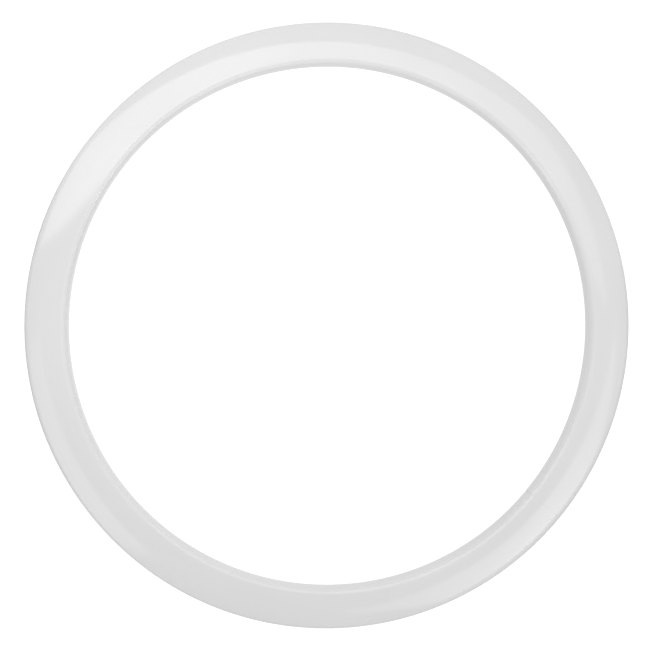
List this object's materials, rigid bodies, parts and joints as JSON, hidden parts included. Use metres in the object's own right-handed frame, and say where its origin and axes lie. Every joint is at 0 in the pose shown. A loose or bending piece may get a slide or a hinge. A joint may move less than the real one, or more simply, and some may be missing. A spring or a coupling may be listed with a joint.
{
  "type": "rhythmic hoop",
  "caption": "Plain white gymnastics hoop: one hollow D-section plastic rim, flat inner wall and domed faces, butted over an internal plug and pinned.",
  "frame": {"origin": "centre of the hoop at the plane it rests on when it lies flat", "axes": "+Z along the ring's axis, +X and +Y across it; the butt joint is at 320 degrees from +X towards +Y"},
  "size_m": [0.93, 0.9299, 0.04],
  "materials": {
    "shell": "glossy extruded white plastic",
    "plug": "matt moulded plastic",
    "pin": "satin moulded plastic"
  },
  "bodies": {
    "root": {"hoop_tube": "shell", "joint_plug": "plug", "joint_pin_1": "pin", "joint_pin_2": "pin", "joint_pin_3": "pin", "joint_pin_4": "pin"}
  },
  "joints": []
}
